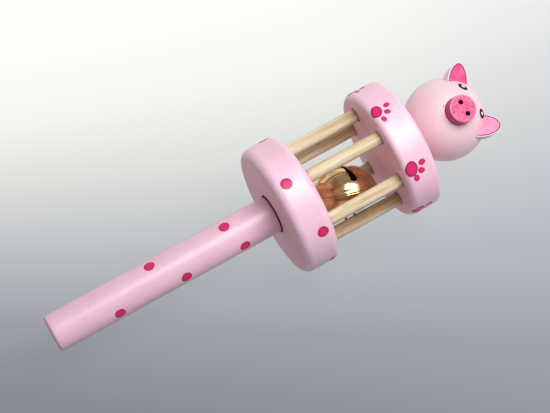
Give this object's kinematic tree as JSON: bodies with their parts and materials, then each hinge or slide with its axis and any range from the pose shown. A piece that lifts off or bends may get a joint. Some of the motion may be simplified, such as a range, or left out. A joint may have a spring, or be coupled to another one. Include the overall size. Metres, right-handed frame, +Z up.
{
  "type": "hand bell",
  "caption": "Wooden hand bell: a painted stick handle, round discs joined by dowels as a cage for a loose jingle bell, and a ball head with a pig's snout and ears.",
  "frame": {"origin": "under the middle of the whole toy as it lies, on the surface that its two disc rims lie on", "axes": "+X along the handle's axis from the free end to the head, +Z up, +Y to the left of that"},
  "size_m": [0.1792, 0.05, 0.05],
  "materials": {
    "pale_pink_paint": "glossy pale pink paint with deep pink dots",
    "head_pink_paint": "satin pale pink paint",
    "deep_pink_paint": "satin deep pink paint",
    "bare_wood": "bare turned dowel",
    "bell_brass": "polished",
    "pellet_steel": "bare steel ball"
  },
  "bodies": {
    "frame": {"handle": "pale_pink_paint", "lower_disc": "pale_pink_paint", "upper_disc": "pale_pink_paint", "cage_dowel_1": "bare_wood", "cage_dowel_2": "bare_wood", "cage_dowel_3": "bare_wood", "cage_dowel_4": "bare_wood", "cage_dowel_5": "bare_wood", "cage_dowel_6": "bare_wood", "neck_dowel": "bare_wood", "head_ball": "head_pink_paint", "snout": "deep_pink_paint", "left_ear": "deep_pink_paint", "right_ear": "deep_pink_paint"},
    "bell": {"bell_slit_half": "bell_brass", "bell_loop_half": "bell_brass", "bell_loop": "bell_brass"},
    "pellet": {"bell_pellet": "pellet_steel"}
  },
  "joints": [
    {"name": "bell_slide", "type": "slide", "parent": "frame", "child": "bell", "axis": [1, 0, 0], "range_m": [-0.0022, 0.0039]},
    {"name": "pellet_roll", "type": "hinge", "parent": "bell", "child": "pellet", "pos_m": [0.0287, -0.004, 0.02116], "axis": [-0.2419, -0.8317, -0.4997], "continuous": true}
  ]
}
